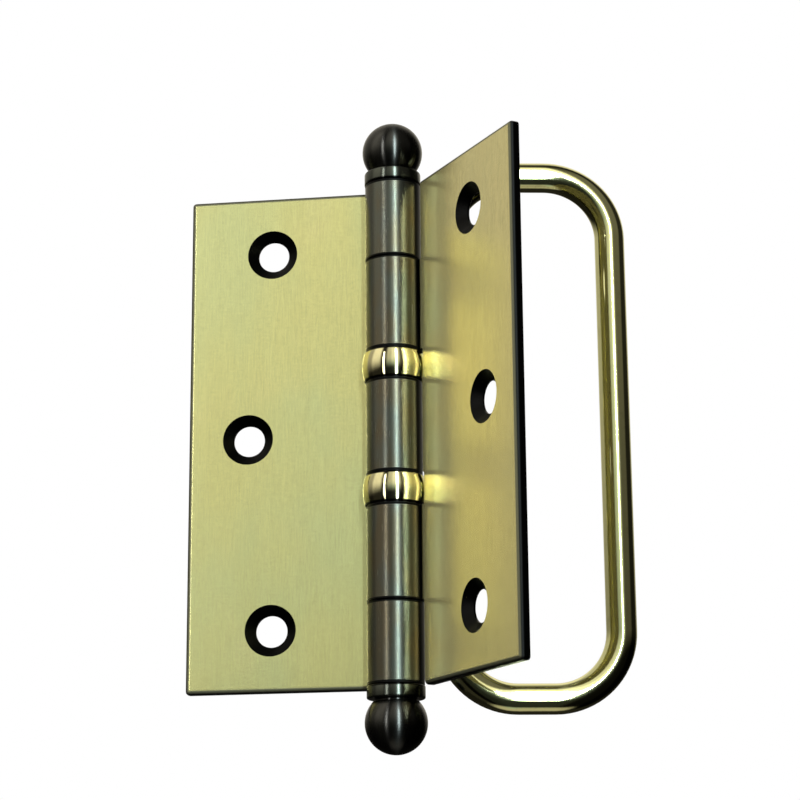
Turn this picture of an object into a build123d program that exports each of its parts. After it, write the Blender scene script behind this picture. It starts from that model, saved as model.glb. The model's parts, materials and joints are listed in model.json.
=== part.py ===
"""Five-knuckle butt hinge with ball tips, two crowned thrust bearings and a rod loop on one leaf.

Every piece is drawn about the pin axis (x = y = 0, mid-height at z = 0) and moved at the end, so
that the origin is the centre of the frame leaf's outer screw holes, on its mounting face.
The frame leaf runs to -X, and its countersunk face looks to -Y.  The door leaf is its mirror
image with two knuckles instead of three, swung round the pin to rest_opening.
"""

import math
import os

from build123d import *

# Leaves: sheet brass, with the back face tangent to the rolled knuckles
leaf_height = 88.9
leaf_reach = 37.0  # pin axis to free edge
leaf_thickness = 1.8
leaf_corner = 0.6  # rounding of the two outer corners
knuckle_radius = 4.85
knuckle_notch = 4.55  # pin axis to the edge beside the other leaf's knuckles
case_notch = 4.95  # pin axis to the edge beside the bearing cases
rest_opening = 125.0  # angle between the countersunk faces

# Barrel: the heights where the knuckles and bearings end, mirrored about z = 0
barrel_half = 44.2
outer_joint = 30.2  # middle of the gap between the outer and the inner knuckles
joint_gap = 0.24
bearing_bottom = 8.2
bearing_top = 13.7
curl_seam = 0.3  # gap between the end of each curl and the leaf's face

# Screw holes: two on the outer line and one nearer the free edge
outer_hole_reach = 22.2
outer_hole_height = 33.8
middle_hole_reach = 26.4
hole_radius = 2.75
countersink_radius = 4.4
countersink_angle = 100.0

# Pin and ball tips
pin_radius = 3.0
pin_shoulder = 44.25
stud_radius = 2.5
stud_length = 6.6
stud_chamfer = 0.4
tip_start = 44.3
tip_bore_length = 7.0
collar_radius = 4.95
collar_length = 2.2
collar_chamfer = 0.25
ball_radius = 5.3
ball_height = 50.5
neck_radius = 3.7

# Thrust bearings
race_bore = 3.1
race_radius = 4.8
race_end_gap = 0.05
bearing_ball_radius = 0.75
bearing_ball_pitch = 3.95
bearing_ball_count = 14
groove_radius = 0.8
groove_depth = 0.35
case_bore = 4.88
case_end_radius = 5.1
case_crown_radius = 5.5
case_end_gap = 0.25

# Rod loop: a closed rounded rectangle, its inner run lying on the back of the door leaf
rod_radius = 2.6
loop_width = 29.1  # centreline to centreline
loop_height = 92.2
loop_middle = -0.65  # height of the loop's centre
loop_bend = 11.4  # centreline radius of the corners
loop_run_reach = 5.2  # along the leaf, from the pin axis to the inner run
loop_lean = 65.5  # angle between the leaf and the loop
bead_length = 9.0
bead_size = 2.2
bead_inset = 1.25  # each bead starts this far from the middle of the run
knuckle_bead_height = 21.9

leaf_face = knuckle_radius - leaf_thickness  # pin axis to the countersunk face's plane
door_turn = rest_opening - 180.0  # the mirrored leaf's turn about the pin, from +X
pin_axis_place = Location((outer_hole_reach, -knuckle_radius, 0))


def slab(x_low, x_high, z_low, z_high, y_low=leaf_face, y_high=knuckle_radius):
    """A box given by its limits."""
    block = Box(x_high - x_low, y_high - y_low, z_high - z_low)
    return Pos((x_low + x_high) / 2, (y_low + y_high) / 2, (z_low + z_high) / 2) * block


def turned(points):
    """A solid turned about Z from (radius, height) points joined by straight lines."""
    outline = Polyline([(r, 0, z) for r, z in points], close=True)
    return revolve(make_face(outline), Axis.Z)


def ring(inner, outer, low, high):
    """A plain washer about the pin axis."""
    return turned([(inner, low), (outer, low), (outer, high), (inner, high)])


def curl(low, high):
    """One rolled knuckle of the leaf that runs to -X: it leaves the plate at the back and ends
    just short of the plate's countersunk face."""
    end = math.pi - math.asin((leaf_face - curl_seam) / knuckle_radius)
    end_deg = math.degrees(end)
    arc_size = end_deg - 360.0 - 90.0
    outer = CenterArc((0, 0), knuckle_radius, 90, arc_size)
    inner = CenterArc((0, 0), leaf_face, 90, arc_size)
    sides = Line(outer @ 0, inner @ 0) + Line(outer @ 1, inner @ 1)
    profile = make_face([outer, inner, *sides.edges()])
    return extrude(Pos(0, 0, low) * profile, high - low, dir=(0, 0, 1))


def screw_hole(reach, height):
    """The cut for one countersunk hole, entered from the -Y side."""
    depth = (countersink_radius - hole_radius) / math.tan(math.radians(countersink_angle / 2))
    cone_over = 0.5
    wide = countersink_radius + cone_over * math.tan(math.radians(countersink_angle / 2))
    drill = turned(
        [
            (0, -cone_over),
            (wide, -cone_over),
            (hole_radius, depth),
            (hole_radius, leaf_thickness + 1),
            (0, leaf_thickness + 1),
        ]
    )
    return Pos(-reach, leaf_face, height) * Rot(-90, 0, 0) * drill


def leaf(knuckles):
    """A leaf that runs to -X, with rolled knuckles at the given (low, high) heights."""
    half = leaf_height / 2
    plate = slab(-leaf_reach, 0, -half, half)
    free_corners = plate.edges().filter_by(Axis.Y).group_by(Axis.X)[0]
    plate = fillet(free_corners, leaf_corner)
    edges = [-half, *sorted(z for span in knuckles for z in span), half]
    for low, high in zip(edges[0::2], edges[1::2]):
        plate -= slab(-knuckle_notch, 1, low, high)
    for low, high in ((-bearing_top, -bearing_bottom), (bearing_bottom, bearing_top)):
        plate -= slab(-case_notch, 1, low, high)
    for height in (-outer_hole_height, outer_hole_height):
        plate -= screw_hole(outer_hole_reach, height)
    plate -= screw_hole(middle_hole_reach, 0)
    for low, high in knuckles:
        plate += curl(low, high)
    return plate


def frame_leaf():
    """The three-knuckle leaf."""
    low_end = outer_joint + joint_gap / 2
    return leaf(
        [(-barrel_half, -low_end), (-bearing_bottom, bearing_bottom), (low_end, barrel_half)]
    )


def door_leaf():
    """The two-knuckle leaf, mirrored and swung to its rest opening."""
    top = outer_joint - joint_gap / 2
    flat = leaf([(-top, -bearing_top), (bearing_top, top)])
    return Rot(0, 0, door_turn) * mirror(flat, Plane.YZ)


def hinge_pin():
    """A plain pin with a stud at each end for the ball tips."""
    stud_end = pin_shoulder + stud_length
    half_outline = [
        (pin_radius, pin_shoulder),
        (stud_radius, pin_shoulder),
        (stud_radius, stud_end - stud_chamfer),
        (stud_radius - stud_chamfer, stud_end),
        (0, stud_end),
    ]
    return turned([(r, -z) for r, z in reversed(half_outline)] + half_outline)


def ball_tip():
    """The upper tip: a collar, a short neck and a ball, bored from below for the pin's stud."""
    top = tip_start + collar_length
    collar = turned(
        [
            (0, tip_start),
            (collar_radius - collar_chamfer, tip_start),
            (collar_radius, tip_start + collar_chamfer),
            (collar_radius, top - collar_chamfer),
            (collar_radius - collar_chamfer, top),
            (0, top),
        ]
    )
    neck = ring(0, neck_radius, top, ball_height)
    ball = Pos(0, 0, ball_height) * Sphere(ball_radius)
    return collar + neck + ball - ring(0, stud_radius, 0, tip_start + tip_bore_length)


def bearing_middle():
    return (bearing_bottom + bearing_top) / 2


def race(low, high):
    """A washer with a ball groove in the end that faces the middle of the bearing."""
    groove = Pos(0, 0, bearing_middle()) * Torus(bearing_ball_pitch, groove_radius)
    return ring(race_bore, race_radius, low, high) - groove


def lower_race():
    """The race that lies on the middle knuckle."""
    plane = bearing_middle() - groove_radius + groove_depth
    return race(bearing_bottom + race_end_gap, plane)


def upper_race():
    """The race that lies under the inner knuckle of the door leaf."""
    plane = bearing_middle() + groove_radius - groove_depth
    return race(plane, bearing_top - race_end_gap)


def bearing_balls():
    """The full set of balls, each its own solid."""
    ball = Pos(bearing_ball_pitch, 0, bearing_middle()) * Sphere(bearing_ball_radius)
    step = 360 / bearing_ball_count
    return Compound([Rot(0, 0, step * n) * ball for n in range(bearing_ball_count)])


def bearing_case():
    """The crowned brass ring round the races."""
    low = bearing_bottom + case_end_gap
    high = bearing_top - case_end_gap
    crown = ThreePointArc(
        (case_end_radius, 0, low),
        (case_crown_radius, 0, bearing_middle()),
        (case_end_radius, 0, high),
    )
    bore = Polyline(
        (case_end_radius, 0, high),
        (case_bore, 0, high),
        (case_bore, 0, low),
        (case_end_radius, 0, low),
    )
    return revolve(make_face(crown.edges() + bore.edges()), Axis.Z)


def loop_frame():
    """Where the loop's centre is, with local X across its width and local Z up."""
    leaf_x = Vector(1, 0, 0)
    leaf_y = Vector(0, 1, 0)
    inner_run = leaf_x * loop_run_reach + leaf_y * (knuckle_radius + rod_radius)
    lean = math.radians(loop_lean)
    across = Vector(math.cos(lean), math.sin(lean), 0)
    centre = inner_run + across * (loop_width / 2)
    centre += Vector(0, 0, loop_middle)
    return Rot(0, 0, door_turn) * Pos(centre) * Rot(0, 0, loop_lean)


def rod_loop():
    """The closed loop: four straight runs and four quarter bends."""
    half_run = loop_width / 2 - loop_bend
    half_rise = loop_height / 2 - loop_bend
    upright = Pos(loop_width / 2, 0, 0) * Cylinder(rod_radius, 2 * half_rise)
    crosswise = Pos(0, 0, loop_height / 2) * Rot(0, 90, 0) * Cylinder(rod_radius, 2 * half_run)
    section = Pos(loop_bend, 0, 0) * Circle(rod_radius)
    quarter = revolve(section, Axis((0, 0, 0), (0, -1, 0)), 90)
    bend = Pos(half_run, 0, half_rise) * quarter
    corner = upright + crosswise + bend
    left = mirror(corner, Plane.YZ)
    upper = corner + left
    return loop_frame() * (upper + mirror(upper, Plane.XY))


def weld_bead(height, side):
    """The bar that one fillet is cut from, on the given side of the loop's inner run."""
    near = loop_run_reach + side * bead_inset
    far = near + side * bead_size
    outline = Polyline(
        (near, knuckle_radius),
        (far, knuckle_radius),
        (near, knuckle_radius + bead_size),
        close=True,
    )
    bottom = Pos(0, 0, height - bead_length / 2)
    return Rot(0, 0, door_turn) * extrude(bottom * make_face(outline), bead_length, dir=(0, 0, 1))


def weld_beads(leaf_solid, loop_solid):
    """Short fillets beside the loop's inner run: both sides over the knuckles, where the plate
    reaches the barrel, and the outer side alone at mid-height, where the plate is notched."""
    places = [(h, side) for h in (-knuckle_bead_height, knuckle_bead_height) for side in (-1, 1)]
    beads = []
    for height, side in [*places, (0, 1)]:
        bead = weld_bead(height, side) - loop_solid - leaf_solid
        beads += bead.solids()
    return Compound(beads)


def save(name, shape):
    """Moves a piece from the pin axis to the part's own origin and writes it."""
    export_step(pin_axis_place * shape, f"parts/{name}.step")


def main():
    os.makedirs("parts", exist_ok=True)
    door = door_leaf()
    loop = rod_loop()
    save("frame_leaf", frame_leaf())
    save("door_leaf", door)
    save("rod_loop", loop)
    save("weld_beads", weld_beads(door, loop))
    save("hinge_pin", hinge_pin())
    save("top_ball_tip", ball_tip())
    save("bottom_ball_tip", mirror(ball_tip(), Plane.XY))
    pieces = {
        "frame_side_race": lower_race(),
        "door_side_race": upper_race(),
        "bearing_balls": bearing_balls(),
        "bearing_case": bearing_case(),
    }
    for name, piece in pieces.items():
        save(f"upper_{name}", piece)
        save(f"lower_{name}", mirror(piece, Plane.XY))


main()
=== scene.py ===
"""The looks of a ball-tip door hinge, built round its CAD frame. Lengths are in metres."""

import json
import math

import bmesh
import bpy
from bpy.props import FloatProperty, FloatVectorProperty, IntProperty, PointerProperty
from mathutils import Euler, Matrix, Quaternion, Vector


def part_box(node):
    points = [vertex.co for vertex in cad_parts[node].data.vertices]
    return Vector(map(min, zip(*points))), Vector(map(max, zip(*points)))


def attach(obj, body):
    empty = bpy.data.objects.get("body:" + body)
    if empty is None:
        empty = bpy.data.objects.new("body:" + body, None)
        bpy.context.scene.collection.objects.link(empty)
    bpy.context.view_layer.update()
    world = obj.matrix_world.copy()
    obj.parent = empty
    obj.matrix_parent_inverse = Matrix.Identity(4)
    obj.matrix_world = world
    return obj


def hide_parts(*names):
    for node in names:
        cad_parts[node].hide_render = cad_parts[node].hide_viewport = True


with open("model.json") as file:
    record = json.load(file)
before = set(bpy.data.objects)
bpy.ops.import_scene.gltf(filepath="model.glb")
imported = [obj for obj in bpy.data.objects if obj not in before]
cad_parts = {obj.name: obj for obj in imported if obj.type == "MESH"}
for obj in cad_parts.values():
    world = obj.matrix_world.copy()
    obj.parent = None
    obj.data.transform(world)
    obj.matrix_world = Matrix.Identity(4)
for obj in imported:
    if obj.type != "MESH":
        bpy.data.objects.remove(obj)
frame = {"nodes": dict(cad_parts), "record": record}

bl_info = {
    "name": "Ball-tip door hinge",
    "version": (1, 0, 0),
    "blender": (4, 5, 0),
    "location": "View3D > Sidebar > Hinge",
    "description": "Builds the leaves, barrel, bearings and rod loop of a door hinge",
    "category": "Object",
}

MM = 0.001
UP = Vector((0, 0, 1))
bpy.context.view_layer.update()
MOUNTS = {mount["name"]: mount for mount in frame["record"]["mounts"]}


def middle(node):
    """The centre of a CAD node's box."""
    low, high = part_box(node)
    return (low + high) / 2


def half_width(node):
    """Half the size of a turned node across the pin."""
    low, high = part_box(node)
    return (high.x - low.x) / 2


AXIS = Vector((middle("hinge_pin").x, middle("hinge_pin").y, 0))


def leaf_directions(side):
    """Unit vectors along a leaf, away from the pin, and out of its back."""
    holes = MOUNTS[f"{side}_outer_holes"]
    back = Vector(holes["axis"])
    offset = Vector(holes["pos_m"]) - AXIS
    along = offset - back * offset.dot(back)
    return along.normalized(), back


def about(*words_and_default):
    """What every property has."""
    return dict(zip(("name", "description", "default"), words_and_default))


def length(name, description, millimetres):
    """A property for a size of the hinge."""
    words = about(name, description, millimetres * MM)
    return FloatProperty(**words, min=0.0, precision=5, subtype="DISTANCE", unit="LENGTH")


def angle(name, description, degrees):
    """An angle property."""
    words = about(name, description, math.radians(degrees))
    return FloatProperty(**words, subtype="ANGLE", unit="ROTATION")


def number(name, description, default):
    """A property for a number of faces."""
    return IntProperty(**about(name, description, default), min=1)


def share(name, description, default):
    """A property from 0 to 1."""
    return FloatProperty(**about(name, description, default), min=0.0, max=1.0, subtype="FACTOR")


def rough(metal, default):
    """A metal's roughness."""
    return share(f"{metal} roughness", f"Roughness of the {metal.lower()}", default)


def colour(name, description, red, green, blue):
    """A colour property."""
    words = about(name, description, (red, green, blue))
    return FloatVectorProperty(**words, size=3, min=0.0, max=1.0, subtype="COLOR")


class HingeSizes(bpy.types.PropertyGroup):
    """Sizes that the frame's boxes don't give."""

    sheet: length("Sheet", "Thickness of the leaves", 1.8)
    front_width: length("Edge roll width", "Across the rolled edge", 0.85)
    front_depth: length("Edge roll depth", "Down the rolled edge", 0.7)
    notch_share: share("Notch share", "Share of the roll beside the barrel", 0.14)
    back_round: length("Back rounding", "Rounding of the back edges", 0.16)
    corner_round: length("Corner rounding", "Rounding of the outer corners", 0.6)
    notch_round: length("Notch rounding", "Rounding of the corners beside the barrel", 0.15)
    knuckle_notch: length("Knuckle notch", "From the pin to the edge beside a knuckle", 4.55)
    case_notch: length("Case notch", "From the pin to the edge beside a bearing case", 4.95)
    barrel_half: length("Half barrel", "From mid-height to the end of the barrel", 44.2)
    outer_joint: length("Outer joint", "From mid-height to an outer joint", 30.2)
    joint_gap: length("Joint gap", "Gap between two knuckles", 0.24)
    bearing_low: length("Bearing start", "From mid-height to a bearing", 8.2)
    bearing_high: length("Bearing end", "From mid-height past a bearing", 13.7)
    curl_seam: length("Curl seam", "Gap where a knuckle closes", 0.3)
    countersink: length("Countersink", "Radius of a countersink's mouth", 4.4)
    countersink_depth: length("Countersink depth", "Depth of a countersink's cone", 1.385)
    rim_round: length("Rim", "Width of the dulled rim of a hole", 0.07)
    collar: length("Collar", "Radius of a ball tip's collar", 4.95)
    collar_length: length("Collar length", "Height of a ball tip's collar", 2.2)
    neck: length("Neck", "Radius of a ball tip's neck", 3.7)
    stud: length("Stud", "Radius of the pin's stud in a ball tip", 2.5)
    stud_bore: length("Stud bore", "Depth of the bore in a ball tip", 7.0)
    stud_round: length("Stud rounding", "Rounding of the mouth of a ball tip's bore", 0.15)
    foot_round: length("Foot rounding", "Rounding of a collar's edge on the barrel", 0.2)
    collar_round: length("Collar rounding", "Rounding of a collar's far edge and its cove", 0.3)
    neck_length: length("Neck length", "Least height of a ball tip's neck", 0.4)
    case_bore: length("Case bore", "Inner radius of a bearing case", 4.88)
    case_end: length("Case end", "Outer radius of a bearing case at its ends", 5.1)
    case_round: length("Case rounding", "Rounding of a bearing case's ends", 0.16)
    rod: length("Rod", "Radius of the loop's rod", 2.6)
    loop_width: length("Loop width", "Across the loop between the rod's centres", 29.1)
    loop_bend: length("Loop bend", "Centreline radius of the loop's corners", 11.4)
    loop_reach: length("Loop reach", "From the pin to the inner run", 5.2)
    bead_length: length("Bead length", "Length of a brazed bead", 9.0)
    bead_size: length("Bead size", "Leg of a brazed bead", 3.3)
    loop_lean: angle("Loop lean", "Angle between the door leaf and the loop", 65.5)
    round_steps: number("Rounding steps", "Faces across a rounded edge", 3)
    roll_steps: number("Roll steps", "Faces across the rolled edge", 7)
    turn_steps: number("Turning steps", "Faces round a turned piece", 128)


class HingeFinishes(bpy.types.PropertyGroup):
    """Colours and polish of the metals."""

    satin_brass: colour("Satin brass", "Lacquered faces of the leaves", 0.75, 0.70, 0.30)
    satin_green: colour("Green cast", "Cooler patches on the leaves", 0.66, 0.67, 0.32)
    satin_warm: colour("Warm cast", "Warmer patches on the leaves", 0.86, 0.74, 0.37)
    lacquer: share("Lacquer", "How much the lacquer scatters light on the leaves", 0.18)
    roll_tone: colour("Edge tone", "Half-blackened rolled edges", 0.17, 0.165, 0.105)
    grain: colour("Grain", "Dark grain in the leaves' brass", 0.20, 0.16, 0.06)
    satin_rough: rough("Leaves", 0.23)
    black_edge: colour("Black edge", "Oxidised edges and countersinks", 0.006, 0.006, 0.006)
    black_rough: rough("Oxidised edges", 0.33)
    scuff: colour("Scuff", "Brass that shows at scuffs in the black", 0.22, 0.19, 0.10)
    gunmetal: colour("Gunmetal", "Oxidised knuckles", 0.083, 0.090, 0.078)
    gunmetal_rough: rough("Knuckles", 0.26)
    tip_metal: colour("Tip metal", "Oxidised ball tips", 0.055, 0.055, 0.053)
    tip_rough: rough("Ball tips", 0.26)
    ring_brass: colour("Ring brass", "Polished bearing cases", 0.64, 0.60, 0.35)
    ring_rough: rough("Bearing cases", 0.07)
    rod_brass: colour("Rod brass", "Polished loop rod", 0.80, 0.79, 0.42)
    rod_patina: colour("Rod patina", "Duller patches on the rod", 0.52, 0.50, 0.26)
    rod_speck: colour("Rod specks", "Dark specks on the rod", 0.20, 0.17, 0.08)
    rod_rough: rough("Rod loop", 0.10)
    steel: colour("Steel", "Pin, races and balls", 0.55, 0.56, 0.57)
    steel_rough: rough("Pin and bearings", 0.2)
    grease: colour("Grease", "Traces of grease on the steel", 0.23, 0.20, 0.15)
    braze: colour("Braze", "Brazed beads", 0.52, 0.40, 0.20)
    heat_stain: colour("Heat stain", "Heat-stained patches of the beads", 0.13, 0.10, 0.08)
    braze_rough: rough("Beads", 0.42)


class HingeStage(bpy.types.PropertyGroup):
    """The camera and the light. Headings are 0 in front of the hinge, growing towards +X."""

    distance: length("Distance", "From the camera to the pin's middle", 396.75)
    heading: angle("Camera heading", "Where the camera stands", 8.442)
    drop: angle("Camera drop", "How far below level the camera stands", 13.856)
    turn: angle("Camera turn", "Which way the camera looks, from +Y towards -X", 8.289)
    rise: angle("Camera rise", "How far above level the camera looks", 14.587)
    roll: angle("Camera roll", "The camera's turn about its own view", -0.450)
    lens: FloatProperty(**about("Lens", "Focal length", 103.55), unit="CAMERA")
    floor_drop: length("Floor", "From mid-height down to the floor", 500.0)
    floor_radius: length("Floor radius", "Radius of the floor", 4000.0)


# ---------------------------------------------------------------- shader nodes


# The inputs and the output of a Mix node that carry colours.
MIX_FACTOR, MIX_FIRST, MIX_SECOND = 0, 6, 7
MIX_COLOUR = 2

# Where one finish gives way to the next, in millimetres below a leaf's face or as noted.
PLATE_EDGE = (5.0, 5.55)  # from the pin's axis: gunmetal, then brass
FACE_EDGE = (0.0, 0.035)  # brass, then the edge tone
ROLL_EDGE = (0.035, 0.34)  # the edge tone, then black
BACK_EDGE = (1.66, 1.78)  # black, then the back's brass
SEAM_EDGE = (0.34, 0.52)  # from a joint in the barrel: black, then metal
COLLAR_BLUR = 0.1  # either way of a collar's end
# The barrel's black between these headings is painted shade from the door leaf, not a finish.
PAINTED_SHADE_HEADINGS = ((57, 66), (122, 135))  # headings where the barrel's black starts and ends
GUNMETAL_BROWN = (1.15, 0.92, 0.72)  # what a brown patch does to gunmetal
GUNMETAL_PALE = (1.5, 1.5, 1.5)  # what a pale streak does to gunmetal


def tinted(base, tint):
    """A colour times a tint."""
    return [one * other for one, other in zip(base, tint)]


class Wire:
    """One output in a material's nodes. Arithmetic on values adds Math nodes."""

    def __init__(self, tree, socket):
        self.tree = tree
        self.socket = socket

    def __add__(self, other):
        return self.tree.math("ADD", self, other)

    __radd__ = __add__

    def __sub__(self, other):
        return self.tree.math("SUBTRACT", self, other)

    def __rsub__(self, other):
        return self.tree.math("SUBTRACT", other, self)

    def __mul__(self, other):
        return self.tree.math("MULTIPLY", self, other)

    __rmul__ = __mul__

    def __truediv__(self, other):
        return self.tree.math("DIVIDE", self, other)

    def __rtruediv__(self, other):
        return self.tree.math("DIVIDE", other, self)

    def __abs__(self):
        return self.tree.math("ABSOLUTE", self)

    def clamped(self):
        return self.tree.math("ADD", self, 0.0, clamp=True)


class Tree:
    """The nodes of a new material or world, with one call for every kind of node."""

    def __init__(self, owner, coordinates="Object"):
        owner.use_nodes = True
        self.owner = owner
        self.nodes = owner.node_tree.nodes
        self.links = owner.node_tree.links
        self.nodes.clear()
        self.place = self.node("ShaderNodeTexCoord", {}, output=coordinates)

    def node(self, kind, settings, *values, output=0, numbered=(), **named):
        """Adds a node: its settings first, then the values or wires of its inputs, which come
        in order, as (number, value) pairs or by name."""
        node = self.nodes.new(kind)
        for key, value in settings.items():
            setattr(node, key, value)
        by_name = [(key.replace("_", " "), value) for key, value in named.items()]
        for key, value in (*enumerate(values), *numbered, *by_name):
            self.plug(node.inputs[key], value)
        return Wire(self, node.outputs[output]) if node.outputs else None

    def math(self, operation, *values, clamp=False):
        """A Math node on one or more values."""
        settings = {"operation": operation, "use_clamp": clamp}
        return self.node("ShaderNodeMath", settings, *values)

    def vector_math(self, operation, *values, output=0):
        """A Vector Math node on one or more vectors."""
        return self.node("ShaderNodeVectorMath", {"operation": operation}, *values, output=output)

    def heading(self, right, near):
        """An angle in degrees, 0 in front of the hinge and growing towards +X."""
        return self.math("DEGREES", self.math("ARCTAN2", right, near))

    def axes(self, vector):
        """The x, y and z of a vector."""
        split = self.node("ShaderNodeSeparateXYZ", {}, vector)
        return [Wire(self, socket) for socket in split.socket.node.outputs]

    def plug(self, socket, value):
        """Links a wire to an input, or sets the input's own value."""
        if isinstance(value, Wire):
            self.links.new(value.socket, socket)
        elif socket.type == "RGBA" and len(value) == 3:
            socket.default_value = (*value, 1.0)
        else:
            socket.default_value = value

    def noise(self, per_mm, detail, seed, roughness=0.5):
        """Noise from 0 to 1. per_mm is how often it changes along each axis in a millimetre,
        and the seed makes like pieces differ."""
        scaled = self.vector_math("MULTIPLY", self.place, [rate / MM for rate in per_mm])
        settings = {"noise_dimensions": "4D"}
        return self.node("ShaderNodeTexNoise", settings, scaled, seed, 1.0, detail, roughness)

    def span(self, value, low, high, to_low=0.0, to_high=1.0):
        """A value moved smoothly from one range to another, held at the ends."""
        settings = {"interpolation_type": "SMOOTHSTEP"}
        return self.node("ShaderNodeMapRange", settings, value, low, high, to_low, to_high)

    def band(self, value, rise, fall):
        """1 between two soft edges, 0 elsewhere. Each edge is the (low, high) it runs over."""
        return self.span(value, *rise) * self.span(value, *fall, 1.0, 0.0)

    def mix(self, factor, first, second):
        """A colour between two colours."""
        return self.node(
            "ShaderNodeMix",
            {"data_type": "RGBA", "clamp_factor": True},
            numbered=((MIX_FACTOR, factor), (MIX_FIRST, first), (MIX_SECOND, second)),
            output=MIX_COLOUR,
        )

    def bump(self, height, distance):
        """A normal from a height that reaches the given distance in millimetres."""
        return self.node("ShaderNodeBump", {}, Strength=1.0, Distance=distance * MM, Height=height)

    def finish(self, base, roughness, normal, metallic=1.0, **fixed):
        """The metal itself. fixed holds what is the same all over the surface."""
        fixed |= {"Base_Color": base, "Metallic": metallic, "Roughness": roughness}
        shader = self.node("ShaderNodeBsdfPrincipled", {}, Normal=normal, **fixed)
        self.node("ShaderNodeOutputMaterial", {}, shader)
        return self.owner


def new_material(name):
    """The empty nodes of a new material."""
    return Tree(bpy.data.materials.new(name))


def from_axis(tree):
    """Distance from the pin's axis, in millimetres."""
    flat = tree.vector_math("MULTIPLY_ADD", tree.place, (1, 1, 0), -AXIS)
    return tree.vector_math("LENGTH", flat, output="Value") / MM


def brushed_gunmetal(tree, finishes, seed):
    """Colour and roughness of the oxidised knuckles, turned and then brushed upright."""
    streaks = tree.noise((9, 9, 0.25), detail=4, seed=seed)
    patches = tree.noise((0.35, 0.35, 0.12), detail=2, seed=seed + 3)
    brown = tinted(finishes.gunmetal, GUNMETAL_BROWN)
    pale = tinted(finishes.gunmetal, GUNMETAL_PALE)
    base = tree.mix(tree.span(patches, 0.35, 0.7), finishes.gunmetal, brown)
    base = tree.mix(tree.span(streaks, 0.55, 0.85, 0.0, 0.5), base, pale)
    roughness = finishes.gunmetal_rough + (streaks - 0.5) * 0.08
    return base, roughness, streaks


def seams(tree):
    """1 in the blackened seams between the pieces stacked on the pin, 0 elsewhere."""
    sizes = bpy.context.scene.hinge_sizes
    height = abs(tree.axes(tree.place)[2])
    total = 0.0
    for joint in (sizes.bearing_low, sizes.bearing_high, sizes.outer_joint, sizes.barrel_half):
        away = abs(height - joint) / MM
        total = tree.span(away, *SEAM_EDGE, 1.0, 0.0) + total
    return total.clamped()


def with_seams(tree, base):
    """A colour with the seams blackened."""
    return tree.mix(seams(tree), base, bpy.context.scene.hinge_finishes.black_edge)


def crevice(tree):
    """1 round the side of the barrel that faces the door leaf: a mask of painted shade, blackening
    the barrel where the leaf shades it.
    """
    x, y = tree.axes(tree.place)[:2]
    return tree.band(tree.heading(x - AXIS.x, AXIS.y - y), *PAINTED_SHADE_HEADINGS)


def leaf_metal(finishes, seed, back, face, warmth):
    """Satin lacquered brass on the plate, running into the dark knuckles near the pin and into
    black over the rolled edges. back is the way out of the leaf's back, and face is how far the
    countersunk face is from the pin."""
    tree = new_material(f"leaf_metal_{seed}")
    fine = tree.noise((4, 4, 0.3), detail=5, roughness=0.6, seed=seed)
    cross = tree.noise((0.6, 0.6, 4.5), detail=3, seed=seed + 1)
    broad = tree.noise((0.9, 0.9, 0.05), detail=3, seed=seed + 2)
    clouds = tree.noise((0.055, 0.055, 0.03), detail=3, seed=seed + 3)
    blush = tree.noise((0.11, 0.11, 0.06), detail=4, seed=seed + 4)
    speck = tree.noise((3.2, 3.2, 3.2), detail=2, seed=seed + 5)
    base = tree.mix(tree.span(clouds, 0.35, 0.68), finishes.satin_brass, finishes.satin_green)
    cast = tree.span(blush, 0.55, 0.8, warmth, 0.3 + 0.7 * warmth)
    base = tree.mix(cast, base, finishes.satin_warm)
    shade = (fine - 0.5) * 0.55 + (cross - 0.5) * 0.32 + (broad - 0.5) * 0.14
    shade = (0.1 + shade + (speck - 0.5) * 0.3).clamped()
    base = tree.mix(shade, base, finishes.grain)
    dark, dark_rough, dark_streaks = brushed_gunmetal(tree, finishes, seed + 7)
    worn = from_axis(tree) + (broad - 0.5) * 0.8
    plate = tree.span(worn, *PLATE_EDGE)
    x, y = tree.axes(tree.place)[:2]
    depth = ((x - AXIS.x) * back.x + (y - AXIS.y) * back.y - face) / MM
    at_back = tree.span(depth, *BACK_EDGE)
    face_share = (tree.span(depth, *FACE_EDGE, 1.0, 0.0) + at_back).clamped()
    roll_share = (tree.span(depth, *ROLL_EDGE, 1.0, 0.0) + at_back).clamped()
    base = tree.mix(face_share, finishes.roll_tone, base)
    base = tree.mix(roll_share, finishes.black_edge, base)
    # The seams are blackened joints; the crevice adds painted shade on the barrel's side by the
    # door leaf.
    seams_and_painted_shade = (seams(tree) + crevice(tree)).clamped()
    dark = tree.mix(seams_and_painted_shade, dark, finishes.black_edge)
    dark_rough = dark_rough + seams_and_painted_shade * 0.2
    base = tree.mix(plate, dark, base)
    plate_rough = finishes.satin_rough + (1 - face_share) * 0.25
    plate_rough = plate_rough + (fine - 0.5) * 0.1 + (clouds - 0.5) * 0.06
    roughness = plate * plate_rough + (1 - plate) * dark_rough
    height = plate * (fine + cross * 0.35) + (1 - plate) * dark_streaks
    metallic = 1 - plate * finishes.lacquer
    return tree.finish(base, roughness, tree.bump(height, 0.008), metallic)


def black_oxide(finishes):
    """The oxidised cut edges and countersinks, with brass just showing at scuffs."""
    tree = new_material("black_oxide")
    shear = tree.noise((5, 5, 5), detail=4, seed=21)
    scuffs = tree.noise((1.4, 1.4, 0.8), detail=5, roughness=0.65, seed=22)
    bare = tree.span(scuffs, 0.66, 0.78, 0.0, 0.6)
    base = tree.mix(bare, finishes.black_edge, finishes.scuff)
    roughness = finishes.black_rough + (shear - 0.5) * 0.25
    return tree.finish(base, roughness, tree.bump(shear, 0.02))


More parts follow.
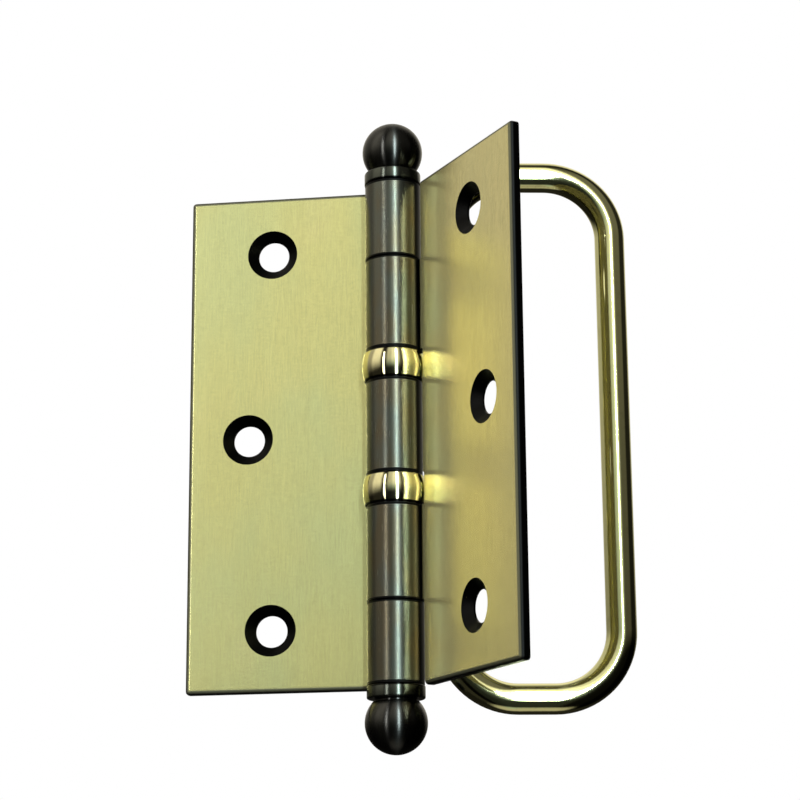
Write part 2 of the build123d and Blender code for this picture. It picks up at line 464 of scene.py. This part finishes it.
def turned_metal(tree, base_colour, rough, seed, contrast, tarnish, stretch, collar=None):
    """Metal turned in a lathe about the pin: fine rings of tool marks that draw highlights out
    along the pin, and a slight tarnish. collar is the colour of the part nearest the barrel, and
    the height from mid-height where it ends."""
    rings = tree.noise((0.02, 0.02, 26), detail=3, seed=seed)
    patches = tree.noise((0.7, 0.7, 0.45), detail=4, seed=seed + 1)
    specks = tree.noise((7, 7, 7), detail=2, seed=seed + 2)
    marks = tree.span(patches, 0.4, 0.75, 0.0, 0.7) + tree.span(specks, 0.68, 0.8, 0.0, 0.4)
    base = base_colour
    if collar:
        colour_below, end = collar
        past = abs(tree.axes(tree.place)[2]) / MM - end / MM
        base = tree.mix(tree.span(past, -COLLAR_BLUR, COLLAR_BLUR), colour_below, base_colour)
    base = tree.mix(marks.clamped() * tarnish, base, (0.0, 0.0, 0.0))
    roughness = rough + (rings - 0.5) * contrast + (patches - 0.5) * contrast
    normal = tree.bump(rings + specks * 0.3, 0.004)
    return tree.finish(
        with_seams(tree, base), roughness, normal, Anisotropic=stretch, Anisotropic_Rotation=0.25
    )


def rod_metal(finishes):
    """Polished drawn rod: die lines run with the rod, with faint handling marks."""
    tree = new_material("rod_metal")
    lines = tree.noise((4.5, 4.5, 0.3), detail=4, seed=41)
    marks = tree.noise((0.5, 0.5, 0.35), detail=5, roughness=0.65, seed=42)
    specks = tree.noise((3, 3, 3), detail=3, seed=43)
    dulled = tree.span(marks, 0.5, 0.8, 0.0, 0.5)
    base = tree.mix(dulled, finishes.rod_brass, finishes.rod_patina)
    base = tree.mix(tree.span(specks, 0.7, 0.82, 0.0, 0.4), base, finishes.rod_speck)
    roughness = finishes.rod_rough + (marks - 0.5) * 0.06 + (lines - 0.5) * 0.03
    normal = tree.bump(lines * 0.5 + marks, 0.01)
    return tree.finish(base, roughness, normal)


def bearing_steel(name, finishes, seed):
    """Ground steel with a trace of grease."""
    tree = new_material(name)
    grind = tree.noise((2, 2, 18), detail=3, seed=seed)
    grease = tree.noise((0.8, 0.8, 0.5), detail=3, seed=seed + 1)
    base = tree.mix(tree.span(grease, 0.5, 0.8, 0.0, 0.6), finishes.steel, finishes.grease)
    roughness = finishes.steel_rough + (grind - 0.5) * 0.12 + (grease - 0.5) * 0.15
    return tree.finish(with_seams(tree, base), roughness, tree.bump(grind, 0.004))


def braze_metal(finishes):
    """Brazing left as it set: rippled, dull and heat-stained."""
    tree = new_material("braze_metal")
    ripples = tree.noise((0.8, 0.8, 2.6), detail=4, seed=61)
    stain = tree.noise((0.5, 0.5, 0.3), detail=3, seed=62)
    base = tree.mix(tree.span(stain, 0.4, 0.7), finishes.braze, finishes.heat_stain)
    roughness = finishes.braze_rough + (ripples - 0.5) * 0.3
    return tree.finish(base, roughness, tree.bump(ripples, 0.12))


# ---------------------------------------------------------------- meshes


SHARP_ANGLE = math.radians(40)  # between faces that meet at a sharp edge
HOLE_STEPS = 64  # faces round a screw hole
KNUCKLE_STEPS = 76  # round a knuckle
BALL_STEPS = 40  # from a ball's neck to its pole
CROWN_STEPS = 16  # up a bearing case
ROD_STEPS = 48  # round the rod
BEND_STEPS = 20  # along a bend of the rod
RUN_STEPS = 6  # along a straight run of the rod
BEAD_STEPS = 28  # along a bead
FILLET_STEPS = 8  # across a bead

# The shape of a brazed bead, as shares of its leg or as noted.
BEAD_BLUNTNESS = 0.35  # power of its taper: less is blunter
BEAD_END = 0.25  # least size at its ends
BEAD_RIPPLE = 0.05  # height of its ripples
BEAD_WAVES = 38  # ripples from end to end, in radians
BEAD_TOP = 0.93  # how far it climbs the rod at most, in radians
BEAD_CLIMB = 0.74  # its climb for a leg as long as the rod's radius
BEAD_BULGE = 0.03  # bulge of its face


def placed(name, data):
    """A new object in the scene."""
    thing = bpy.data.objects.new(name, data)
    bpy.context.scene.collection.objects.link(thing)
    return thing


def piece_from(name, mesh_data, body, replaced, materials):
    """Makes an object of a bmesh, with its finish, its body and the CAD nodes it stands for."""
    bmesh.ops.recalc_face_normals(mesh_data, faces=mesh_data.faces[:])
    mesh = bpy.data.meshes.new(name)
    mesh_data.to_mesh(mesh)
    mesh_data.free()
    mesh.shade_smooth()
    mesh.set_sharp_from_angle(angle=SHARP_ANGLE)
    for material in materials:
        mesh.materials.append(material)
    piece = placed(name, mesh)
    piece.modifiers.new("even normals", "WEIGHTED_NORMAL").keep_sharp = True
    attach(piece, body)
    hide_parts(*replaced)
    return piece


def circle(steps):
    """The cosine and sine of evenly spaced angles round a circle."""
    angles = [2 * math.pi * k / steps for k in range(steps)]
    return [(math.cos(a), math.sin(a)) for a in angles]


def loft(mesh_data, loops, material=0, closed=False):
    """Joins rings of vertices by quads, and the last ring to the first if closed."""
    pairs = list(zip(loops, loops[1:]))
    if closed:
        pairs.append((loops[-1], loops[0]))
    for one, other in pairs:
        for i in range(max(len(one), len(other))):
            corners = [one[i % len(one)], one[(i + 1) % len(one)]]
            corners += [other[(i + 1) % len(other)], other[i % len(other)]]
            distinct = list(dict.fromkeys(corners))
            mesh_data.faces.new(distinct).material_index = material


def rounded(corners, steps):
    """A line through (x, y, radius) corners with each corner rounded."""
    points = []
    for i, (x, y, radius) in enumerate(corners):
        here = Vector((x, y))
        if radius == 0 or i in (0, len(corners) - 1):
            points.append(here)
            continue
        to_last = (Vector(corners[i - 1][:2]) - here).normalized()
        to_next = (Vector(corners[i + 1][:2]) - here).normalized()
        half_angle = to_last.angle(to_next) / 2
        tangent = radius / math.tan(half_angle)
        centre = here + (to_last + to_next).normalized() * radius / math.sin(half_angle)
        start = here + to_last * tangent - centre
        end = here + to_next * tangent - centre
        turn = start.angle_signed(end)
        for k in range(steps + 1):
            angle = -turn * k / steps
            c, s = math.cos(angle), math.sin(angle)
            points.append(centre + Vector((c * start.x - s * start.y, s * start.x + c * start.y)))
    return points


def lathe(profile, steps, closed=False):
    """A solid turned about the pin's axis from (radius, height) points."""
    mesh_data = bmesh.new()
    loops = []
    for radius, height in profile:
        if radius < MM / 1000:
            loops.append([mesh_data.verts.new(AXIS + UP * height)])
            continue
        ring = [AXIS + Vector((c, s, 0)) * radius + UP * height for c, s in circle(steps)]
        loops.append([mesh_data.verts.new(point) for point in ring])
    loft(mesh_data, loops, closed=closed)
    return mesh_data


def sheet_outline(corners, inset, steps):
    """The outline of a sheet of right-angled corners, drawn in by inset. corners are (along, up,
    radius, share), anticlockwise; share is how much of the inset the edge after it takes."""
    points = []
    count = len(corners)
    for i, (along, up, radius, share_after) in enumerate(corners):
        here = Vector((along, up))
        share_before = corners[i - 1][3]
        come = (here - Vector(corners[i - 1][:2])).normalized()
        leave = (Vector(corners[(i + 1) % count][:2]) - here).normalized()
        left = Vector((-come.y, come.x))
        side = 1 if left.dot(leave) > 0 else -1
        draw = share_before * left + share_after * Vector((-leave.y, leave.x))
        here = here + inset * draw
        size = max(radius - side * inset * min(share_before, share_after), radius / 10)
        centre = here - come * size + left * side * size
        for k in range(steps + 1):
            angle = math.pi / 2 * k / steps
            points.append(centre + size * (come * math.sin(angle) - left * side * math.cos(angle)))
    return points


def edge_rounding(width, depth, steps):
    """(inset, depth) pairs down a rounded edge, from the face to the wall."""
    angles = [math.pi / 2 * k / steps for k in range(steps + 1)]
    return [(width * (1 - math.sin(a)), depth * (1 - math.cos(a))) for a in angles]


def barrel_reach(sizes, height, knuckles, curl_length):
    """How near to the pin the flat sheet's edge comes at a height. Knuckles run past the pin."""
    if any(low < height < high for low, high in knuckles):
        return -curl_length
    if sizes.bearing_low < abs(height) < sizes.bearing_high:
        return sizes.case_notch
    return sizes.knuckle_notch


def leaf_corners(sizes, reach, half, knuckles, curl_length):
    """The flat sheet's corners before its tongues are rolled, anticlockwise from the free
    edge's foot."""
    ends = [z for span in knuckles for z in span]
    for sign in (-1, 1):
        ends += [sign * half, sign * sizes.bearing_low, sign * sizes.bearing_high]
    levels = sorted({round(z, 7) for z in ends}, reverse=True)
    small = sizes.notch_share
    corners = [(reach, -half, sizes.corner_round, 1.0), (reach, half, sizes.corner_round, 1.0)]
    last = None
    for top, bottom in zip(levels, levels[1:]):
        edge = barrel_reach(sizes, (top + bottom) / 2, knuckles, curl_length)
        if edge != last:
            if last is not None:
                corners.append((last, top, sizes.notch_round, small))
            corners.append((edge, top, sizes.notch_round, small))
        last = edge
    corners.append((last, -half, sizes.notch_round, 1.0))
    return corners


def hole_loops(mesh_data, sizes, along, up, hole_radius):
    """The rings of one countersunk hole, from the countersunk face to the back."""
    rim = sizes.rim_round
    rings = [
        (sizes.countersink + rim, 0),
        (sizes.countersink, rim * 0.6),
        (hole_radius, sizes.countersink_depth),
        (hole_radius, sizes.sheet - rim),
        (hole_radius + rim, sizes.sheet),
    ]
    loops = []
    for radius, depth in rings:
        loop = [(along + radius * c, depth, up + radius * s) for c, s in circle(HOLE_STEPS)]
        loops.append([mesh_data.verts.new(point) for point in loop])
    return loops


def flat_leaf(sizes, reach, half, knuckles, holes, curl_length):
    """The leaf as a flat sheet: x along it from the pin, y its depth, z up."""
    mesh_data = bmesh.new()
    corners = leaf_corners(sizes, reach, half, knuckles, curl_length)
    front = edge_rounding(sizes.front_width, sizes.front_depth, sizes.roll_steps)
    back = edge_rounding(sizes.back_round, sizes.back_round, sizes.round_steps)
    back = [(inset, sizes.sheet - depth) for inset, depth in reversed(back)]
    loops = []
    for inset, depth in front + back:
        points = sheet_outline(corners, inset, sizes.round_steps)
        loops.append([mesh_data.verts.new((p.x, depth, p.y)) for p in points])
    loft(mesh_data, loops[: len(front)], material=0)
    loft(mesh_data, loops[len(front) - 1 :], material=1)
    face_rings = [loops[0]]
    back_rings = [loops[-1]]
    for along, up, radius in holes:
        rings = hole_loops(mesh_data, sizes, along, up, radius)
        loft(mesh_data, rings, material=1)
        face_rings.append(rings[0])
        back_rings.append(rings[-1])
    for rings in (face_rings, back_rings):
        sides = [(ring[i - 1], ring[i]) for ring in rings for i in range(len(ring))]
        edges = [mesh_data.edges.get(side) for side in sides]
        bmesh.ops.triangle_fill(mesh_data, use_beauty=True, edges=edges, normal=(0, 1, 0))
    return mesh_data


def roll_knuckles(mesh_data, sizes, side, radius, curl_length):
    """Cuts the tongues into narrow strips, then rolls them round the pin and puts the leaf in
    its place."""
    for k in range(KNUCKLE_STEPS):
        bmesh.ops.bisect_plane(
            mesh_data,
            geom=mesh_data.verts[:] + mesh_data.edges[:] + mesh_data.faces[:],
            dist=1e-7,
            plane_co=(-curl_length * k / KNUCKLE_STEPS, 0, 0),
            plane_no=(1, 0, 0),
        )
    along, back = leaf_directions(side)
    face = radius - sizes.sheet
    for vertex in mesh_data.verts:
        reach, depth, up = vertex.co
        turn = max(0.0, -reach / radius)
        outward = back * math.cos(turn) - along * math.sin(turn)
        vertex.co = AXIS + outward * (face + depth) + along * max(0.0, reach) + UP * up


def build_leaf(side, body, knuckles, seed, warmth):
    """One leaf: a sheet with holes, its tongues rolled into knuckles. warmth is how far its
    brass leans to the warm cast."""
    scene = bpy.context.scene
    sizes = scene.hinge_sizes
    finishes = scene.hinge_finishes
    along, back = leaf_directions(side)
    outer = Vector(MOUNTS[f"{side}_outer_holes"]["pos_m"]) - AXIS
    inner = Vector(MOUNTS[f"{side}_middle_hole"]["pos_m"]) - AXIS
    outer_reach = outer.dot(along)
    middle_reach = inner.dot(along)
    radius = outer.dot(back)
    dims = MOUNTS[f"{side}_outer_holes"]["dims"]
    rise = dims.get("pcd_mm", dims.get("spacing_y_mm")) * MM / 2
    hole = dims["hole_r_mm"] * MM
    holes = [(outer_reach, rise, hole), (outer_reach, -rise, hole), (middle_reach, 0, hole)]
    low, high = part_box("frame_leaf")
    reach = AXIS.x - low.x
    seam = math.asin((radius - sizes.sheet - sizes.curl_seam) / radius)
    curl_length = radius * (1.5 * math.pi + seam)
    mesh_data = flat_leaf(sizes, reach, high.z, knuckles, holes, curl_length)
    roll_knuckles(mesh_data, sizes, side, radius, curl_length)
    face = radius - sizes.sheet
    materials = [leaf_metal(finishes, seed, back, face, warmth), black_oxide(finishes)]
    return piece_from(f"{side}_sheet", mesh_data, body, [side], materials)


class HINGE_OT_frame_leaf(bpy.types.Operator):
    """Builds the leaf with three knuckles"""

    bl_idname = "hinge.frame_leaf"
    bl_label = "Frame leaf"

    def execute(self, context):
        sizes = context.scene.hinge_sizes
        joint = sizes.outer_joint + sizes.joint_gap / 2
        knuckles = [
            (-sizes.barrel_half, -joint),
            (-sizes.bearing_low, sizes.bearing_low),
            (joint, sizes.barrel_half),
        ]
        build_leaf("frame_leaf", "frame_side", knuckles, seed=11, warmth=0.0)
        return {"FINISHED"}


class HINGE_OT_door_leaf(bpy.types.Operator):
    """Builds the leaf with two knuckles"""

    bl_idname = "hinge.door_leaf"
    bl_label = "Door leaf"

    def execute(self, context):
        sizes = context.scene.hinge_sizes
        joint = sizes.outer_joint - sizes.joint_gap / 2
        knuckles = [(-joint, -sizes.bearing_high), (sizes.bearing_high, joint)]
        build_leaf("door_leaf", "door_side", knuckles, seed=31, warmth=0.7)
        return {"FINISHED"}


class HINGE_OT_ball_tips(bpy.types.Operator):
    """Builds the two turned tips: collar, neck and ball"""

    bl_idname = "hinge.ball_tips"
    bl_label = "Ball tips"

    def execute(self, context):
        sizes = context.scene.hinge_sizes
        finishes = context.scene.hinge_finishes
        for node, seed in (("top_ball_tip", 51), ("bottom_ball_tip", 56)):
            low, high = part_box(node)
            flip = 1 if high.z > 0 else -1
            start, end = sorted((abs(low.z), abs(high.z)))
            ball = half_width(node)
            centre = end - ball
            collar_end = start + sizes.collar_length
            bore_end = start + sizes.stud_bore
            meet = math.asin(sizes.neck / ball)
            neck_top = centre - ball * math.cos(meet)
            line = rounded(
                [
                    (0, bore_end, 0),
                    (sizes.stud, bore_end, 0),
                    (sizes.stud, start, sizes.stud_round),
                    (sizes.collar, start, sizes.foot_round),
                    (sizes.collar, collar_end, sizes.collar_round),
                    (sizes.neck, collar_end, sizes.collar_round),
                    (sizes.neck, max(neck_top, collar_end + sizes.neck_length), 0),
                ],
                sizes.round_steps + 1,
            )
            for k in range(1, BALL_STEPS + 1):
                angle = meet + (math.pi - meet) * k / BALL_STEPS
                line.append(Vector((ball * math.sin(angle), centre - ball * math.cos(angle))))
            profile = [(max(0.0, p.x), p.y * flip) for p in line]
            tree = new_material(node + "_metal")
            look = {"contrast": 0.05, "tarnish": 0.3, "stretch": 0.9}
            look["collar"] = (finishes.gunmetal, collar_end)
            metal = turned_metal(tree, finishes.tip_metal, finishes.tip_rough, seed, **look)
            name = node.replace("tip", "finial")
            solid = lathe(profile, sizes.turn_steps)
            piece_from(name, solid, "pin_set", [node], [metal])
        return {"FINISHED"}


class HINGE_OT_bearing_cases(bpy.types.Operator):
    """Builds the crowned polished rings round the bearings"""

    bl_idname = "hinge.bearing_cases"
    bl_label = "Bearing cases"

    def execute(self, context):
        sizes = context.scene.hinge_sizes
        finishes = context.scene.hinge_finishes
        for place, seed in (("upper", 71), ("lower", 76)):
            node = f"{place}_bearing_case"
            low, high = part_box(node)
            crown = half_width(node)
            half = (high.z - low.z) / 2
            rise = crown - sizes.case_end
            bow = (half * half + rise * rise) / (2 * rise)
            span = math.asin(half / bow)
            ease = sizes.case_round / bow
            arc = []
            for k in range(CROWN_STEPS + 1):
                angle = -span + ease + 2 * (span - ease) * k / CROWN_STEPS
                arc.append((crown - bow + bow * math.cos(angle), bow * math.sin(angle)))
            top_end = rounded(
                [
                    (*arc[-1], 0),
                    (sizes.case_end, half, sizes.case_round * 0.6),
                    (sizes.case_bore, half, sizes.case_round * 0.5),
                    (sizes.case_bore, 0, 0),
                ],
                sizes.round_steps,
            )
            upper = [(p.x, p.y) for p in top_end[1:-1]]
            lower = [(r, -z) for r, z in reversed(upper)]
            centre = (low.z + high.z) / 2
            profile = [(r, z + centre) for r, z in arc + upper + lower]
            tree = new_material(node + "_metal")
            look = {"contrast": 0.03, "tarnish": 0.2, "stretch": 0.4}
            metal = turned_metal(tree, finishes.ring_brass, finishes.ring_rough, seed, **look)
            solid = lathe(profile, sizes.turn_steps, closed=True)
            body = f"{place}_case"
            piece_from(f"{place}_crowned_ring", solid, body, [node], [metal])
        return {"FINISHED"}


class HINGE_OT_pin_and_bearings(bpy.types.Operator):
    """Gives the pin, races and balls their steel"""

    bl_idname = "hinge.pin_and_bearings"
    bl_label = "Pin and bearings"

    def execute(self, context):
        finishes = context.scene.hinge_finishes
        nodes = ["hinge_pin"]
        for place in ("upper", "lower"):
            nodes += [f"{place}_frame_side_race", f"{place}_door_side_race"]
            nodes.append(f"{place}_bearing_balls")
        for count, node in enumerate(nodes):
            material = bearing_steel(node + "_steel", finishes, 81 + 2 * count)
            for slot in frame["nodes"][node].material_slots:
                slot.material = material
        return {"FINISHED"}


def loop_axes(sizes):
    """The inner run's centre, the direction across the loop and the loop's normal."""
    along, back = leaf_directions("door_leaf")
    radius = (Vector(MOUNTS["door_leaf_outer_holes"]["pos_m"]) - AXIS).dot(back)
    start = AXIS + along * sizes.loop_reach + back * (radius + sizes.rod)
    across = along * math.cos(sizes.loop_lean) + back * math.sin(sizes.loop_lean)
    return start, across, across.cross(UP)


class HINGE_OT_rod_loop(bpy.types.Operator):
    """Builds the closed loop of bent rod"""

    bl_idname = "hinge.rod_loop"
    bl_label = "Rod loop"

    def execute(self, context):
        sizes = context.scene.hinge_sizes
        finishes = context.scene.hinge_finishes
        low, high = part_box("rod_loop")
        start, across, normal = loop_axes(sizes)
        half_height = (high.z - low.z) / 2 - sizes.rod
        half = sizes.loop_width / 2
        centre = start + across * half + UP * (low.z + high.z) / 2
        bend = sizes.loop_bend
        turns = [
            Vector((side * (half - bend), rise * (half_height - bend)))
            for side, rise in ((1, 1), (-1, 1), (-1, -1), (1, -1))
        ]
        path = []
        for quarter, corner in enumerate(turns):
            for k in range(BEND_STEPS + 1):
                angle = math.pi / 2 * (quarter + k / BEND_STEPS)
                outward = Vector((math.cos(angle), math.sin(angle)))
                path.append((corner + outward * bend, outward))
            run = turns[(quarter + 1) % 4] - corner
            for k in range(1, RUN_STEPS):
                path.append((corner + run * k / RUN_STEPS + outward * bend, outward))
        mesh_data = bmesh.new()
        rings = []
        for point, outward in path:
            ring = []
            for c, s in circle(ROD_STEPS):
                spot = point + outward * c * sizes.rod
                place = centre + across * spot.x + UP * spot.y
                place = place + normal * s * sizes.rod
                ring.append(mesh_data.verts.new(place))
            rings.append(ring)
        loft(mesh_data, rings, closed=True)
        metal = rod_metal(finishes)
        piece_from("bent_rod_loop", mesh_data, "door_side", ["rod_loop"], [metal])
        return {"FINISHED"}


class HINGE_OT_brazed_beads(bpy.types.Operator):
    """Builds the beads that fix the loop to the door leaf"""

    bl_idname = "hinge.brazed_beads"
    bl_label = "Brazed beads"

    def execute(self, context):
        sizes = context.scene.hinge_sizes
        finishes = context.scene.hinge_finishes
        along, back = leaf_directions("door_leaf")
        start = loop_axes(sizes)[0]
        knuckle = (sizes.outer_joint - sizes.joint_gap / 2 + sizes.bearing_high) / 2
        places = [(h, side) for h in (-knuckle, knuckle) for side in (-1, 1)] + [(0, 1)]
        mesh_data = bmesh.new()
        for height, side in places:
            self.bead(mesh_data, sizes, start + UP * height, along * side, -back)
        metal = braze_metal(finishes)
        piece_from("brazed_fillets", mesh_data, "door_side", ["weld_beads"], [metal])
        return {"FINISHED"}

    def bead(self, mesh_data, sizes, centre, out, down):
        """One bead in the crevice between the rod and the leaf, tapered and rippled."""
        rod = sizes.rod
        face_out = (out - down).normalized()
        rings = []
        for j in range(BEAD_STEPS + 1):
            progress = j / BEAD_STEPS
            taper = math.sin(math.pi * progress) ** BEAD_BLUNTNESS
            ripple = 1 + BEAD_RIPPLE * math.sin(progress * BEAD_WAVES)
            size = sizes.bead_size * max(BEAD_END, taper) * ripple
            toe = out * size + down * rod
            lift = min(BEAD_TOP, size / rod * BEAD_CLIMB)
            heel = (out * math.sin(lift) + down * math.cos(lift)) * rod
            ring = []
            for k in range(FILLET_STEPS + 1):
                t = k / FILLET_STEPS
                bulge = math.sin(math.pi * t) * size * BEAD_BULGE
                ring.append(toe.lerp(heel, t) + face_out * bulge)
            ring.append((out * math.sin(lift / 2) + down * math.cos(lift / 2)) * rod)
            ring.append(down * rod)
            shift = UP * (progress - 0.5) * sizes.bead_length
            rings.append([mesh_data.verts.new(centre + spot + shift) for spot in ring])
        loft(mesh_data, rings)
        mesh_data.faces.new(rings[0])
        mesh_data.faces.new(rings[-1])


# ---------------------------------------------------------------- stage


# The room seen in reflections. Heights run from -1 straight down to 1 straight up. Each part
# has the headings in degrees over which it starts and ends, and its brightness.
ROOM_PARTS = (
    ((-24, -12), (24, 34), 0.78),  # window
    ((-4, 4), (24, 34), 0.5),  # brighter half of the window
    ((-85, -72), (-46, -36), 1.2),  # left wall
    ((-160, -130), (-85, -72), 0.5),  # far end of the left wall
    ((20, 34), (75, 90), 0.12),  # right wall
)
ROOM_GLOOM = 0.02  # everywhere else
ROOM_FOOT = (-0.08, 0.42)  # heights over which the walls brighten
BACK_WALL = (130, 160)  # headings either way over which the wall behind starts
BACK_GLOW = 0.8
FLOOR_POOL = (-0.99, -0.92)  # heights over which the light from below ends
FLOOR_GLOW = 0.45
SCATTERED_GLOW = 0.8  # what scatters from everywhere
SCATTERED_TINT = (1.0, 1.0, 0.98)
ROOM_TINT = (1.06, 0.99, 0.82)
PANE_FOOT = (0.88, 1.0, 0.90)  # the window's tint low down
PANE_TOP = (0.99, 0.95, 0.80)  # the window's tint higher up


def direction(heading, height):
    """A unit vector from the hinge, at a heading and an angle above level."""
    level = math.cos(height)
    return Vector((math.sin(heading) * level, -math.cos(heading) * level, math.sin(height)))


def area_light(name, heading, height, distance, size, power, tint):
    """A soft rectangular light that faces the hinge. Angles are in degrees."""
    data = bpy.data.lights.new(name, "AREA")
    data.shape = "RECTANGLE"
    data.size, data.size_y = size
    data.energy = power
    data.color = tint
    light = placed(name, data)
    away = direction(math.radians(heading), math.radians(height))
    light.location = AXIS + away * distance
    light.rotation_euler = away.to_track_quat("Z", "Y").to_euler()
    light.visible_camera = False


def floor_material():
    """Plain pale paper."""
    tree = new_material("pale_floor")
    grain = tree.noise((0.2, 0.2, 0.2), detail=2, seed=91)
    base = tree.mix(grain, (0.80, 0.80, 0.79), (0.84, 0.84, 0.83))
    shader = tree.node("ShaderNodeBsdfPrincipled", {}, Base_Color=base, Roughness=0.7)
    tree.node("ShaderNodeOutputMaterial", {}, shader)
    return tree.owner


class HINGE_OT_stage(bpy.types.Operator):
    """Sets the floor, the camera and the soft studio light"""

    bl_idname = "hinge.stage"
    bl_label = "Stage"

    def execute(self, context):
        scene = context.scene
        stage = scene.hinge_stage
        self.floor(stage)
        self.camera(scene, stage)
        self.lights()
        self.room(scene)
        scene.view_settings.view_transform = "Standard"
        return {"FINISHED"}

    def floor(self, stage):
        """A large pale disc well below the hinge."""
        mesh_data = bmesh.new()
        radius = stage.floor_radius
        bmesh.ops.create_circle(mesh_data, cap_ends=True, segments=96, radius=radius)
        mesh = bpy.data.meshes.new("pale_floor")
        mesh_data.to_mesh(mesh)
        mesh_data.free()
        mesh.materials.append(floor_material())
        floor = placed("pale_floor", mesh)
        floor.location = AXIS - UP * stage.floor_drop
        floor.visible_glossy = False

    def camera(self, scene, stage):
        """The camera, in front of the hinge and a little below it."""
        data = bpy.data.cameras.new("hinge_camera")
        data.lens = stage.lens
        data.sensor_width = 36.0
        data.clip_start = 0.01
        camera = placed("hinge_camera", data)
        camera.location = AXIS + direction(stage.heading, -stage.drop) * stage.distance
        aim = Euler((math.pi / 2 + stage.rise, 0, stage.turn)).to_quaternion()
        camera.rotation_euler = (aim @ Quaternion((0, 0, 1), stage.roll)).to_euler()
        scene.camera = camera

    def lights(self):
        """A tall bright strip near the camera, and a weaker one to its left."""
        area_light("front_strip", 18, 12, 0.9, (0.035, 1.2), 8.0, (0.80, 0.98, 1.0))
        area_light("left_strip", -29, 10, 0.9, (0.025, 0.9), 2.0, (1.0, 1.0, 0.95))

    def room(self, scene):
        """A white surround. In reflections it is a room: a window behind the camera, pale walls
        on the left and behind the hinge, a dim wall on the right and a dark ceiling."""
        world = bpy.data.worlds.new("studio_room")
        scene.world = world
        tree = Tree(world, "Generated")
        x, y, z = tree.axes(tree.place)
        heading = tree.heading(x, y * -1.0)
        low = tree.span(z, *ROOM_FOOT, ROOM_GLOOM, 1.0)
        high = tree.span(z, 0.42, 0.72, 0.0, 0.1) - tree.span(z, 0.84, 1.0, 0.0, 0.9)
        level = ROOM_GLOOM
        for start, end, glow in ROOM_PARTS:
            level = tree.band(heading, start, end) * glow + level
        level = level + tree.span(abs(heading), *BACK_WALL) * BACK_GLOW
        strength = (low + high) * level + tree.span(z, *FLOOR_POOL, FLOOR_GLOW, 0.0)
        scattered = tree.node("ShaderNodeLightPath", {}, output="Is Diffuse Ray")
        strength = scattered * SCATTERED_GLOW + (1 - scattered) * strength
        pane = tree.mix(tree.span(z, 0.1, 0.4), PANE_FOOT, PANE_TOP)
        window = tree.band(heading, *ROOM_PARTS[0][:2])
        tint = tree.mix(window, ROOM_TINT, pane)
        tint = tree.mix(scattered, tint, SCATTERED_TINT)
        soft = tree.node("ShaderNodeBackground", {}, tint, strength)
        seen = tree.node("ShaderNodeBackground", {}, (1.0, 1.0, 1.0), 1.0)
        to_camera = tree.node("ShaderNodeLightPath", {}, output="Is Camera Ray")
        both = tree.node("ShaderNodeMixShader", {}, to_camera, soft, seen)
        tree.node("ShaderNodeOutputWorld", {}, both)


class HINGE_PT_pieces(bpy.types.Panel):
    """Lists the hinge's pieces"""

    bl_label = "Door hinge"
    bl_idname = "HINGE_PT_pieces"
    bl_space_type = "VIEW_3D"
    bl_region_type = "UI"
    bl_category = "Hinge"

    def draw(self, context):
        for operator in OPERATORS:
            self.layout.operator(operator.bl_idname)


OPERATORS = (
    HINGE_OT_frame_leaf,
    HINGE_OT_door_leaf,
    HINGE_OT_ball_tips,
    HINGE_OT_bearing_cases,
    HINGE_OT_pin_and_bearings,
    HINGE_OT_rod_loop,
    HINGE_OT_brazed_beads,
    HINGE_OT_stage,
)
GROUPS = {"hinge_sizes": HingeSizes, "hinge_finishes": HingeFinishes, "hinge_stage": HingeStage}
CLASSES = (*GROUPS.values(), *OPERATORS, HINGE_PT_pieces)


def register():
    for cls in CLASSES:
        bpy.utils.register_class(cls)
    for name, group in GROUPS.items():
        setattr(bpy.types.Scene, name, PointerProperty(type=group))


def unregister():
    for name in GROUPS:
        delattr(bpy.types.Scene, name)
    for cls in reversed(CLASSES):
        bpy.utils.unregister_class(cls)


def main():
    """Builds every piece in turn."""
    register()
    for operator in OPERATORS:
        getattr(bpy.ops.hinge, operator.bl_idname.split(".")[1])()


if __name__ == "__main__":
    main()
